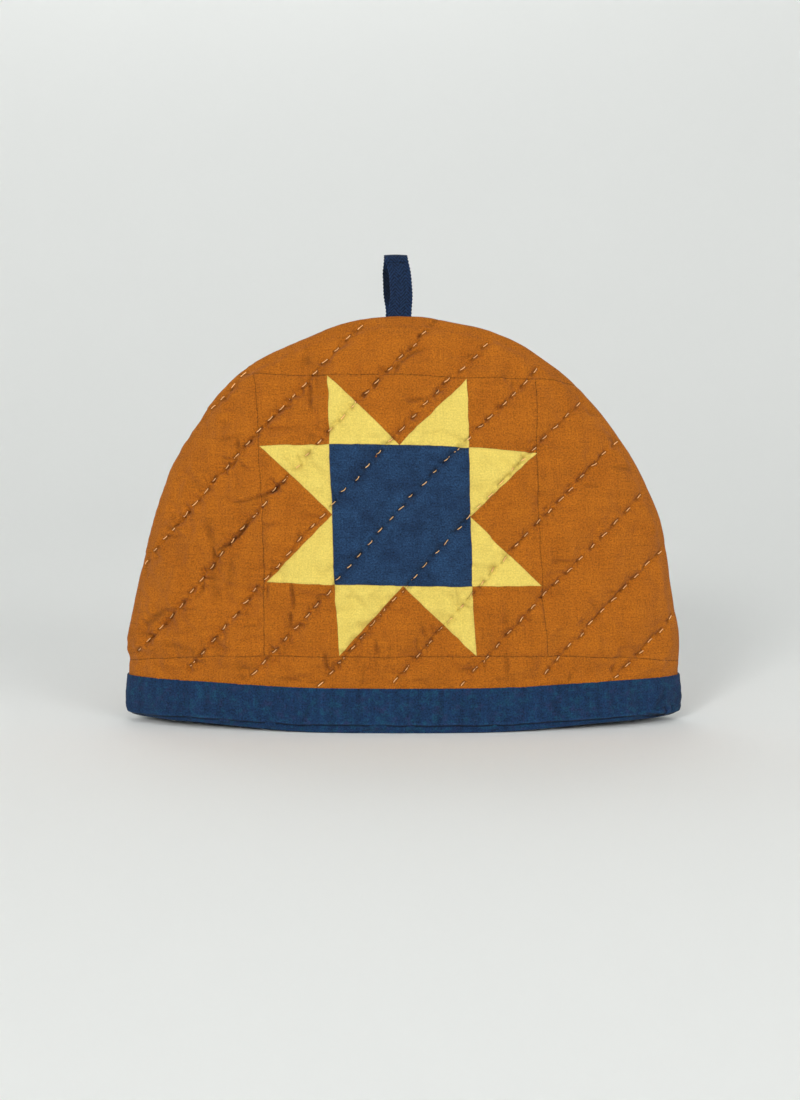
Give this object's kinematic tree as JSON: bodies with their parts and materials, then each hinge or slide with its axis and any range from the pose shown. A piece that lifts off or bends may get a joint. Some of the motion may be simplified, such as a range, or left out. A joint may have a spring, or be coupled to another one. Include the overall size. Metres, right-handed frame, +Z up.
{
  "type": "quilted tea cosy",
  "caption": "Dome-shaped quilted cloth cover that stands open on its hem to keep a teapot warm, with a bound lower edge and a tape hanging loop.",
  "frame": {"origin": "on the surface that the hem stands on, under the middle of the opening", "axes": "+X to the right across the front, +Y from the front to the back, +Z up to the hanging loop"},
  "size_m": [0.3416, 0.093, 0.2845],
  "materials": {
    "front_quilting": "matte woven cotton, pieced and quilted",
    "back_quilting": "matte woven cotton, quilted",
    "band_cotton": "matte woven cotton",
    "loop_tape": "matte herringbone twill tape"
  },
  "bodies": {
    "root": {"front_panel": "front_quilting", "back_panel": "back_quilting", "hem_band": "band_cotton", "hanging_loop": "loop_tape"}
  },
  "joints": []
}
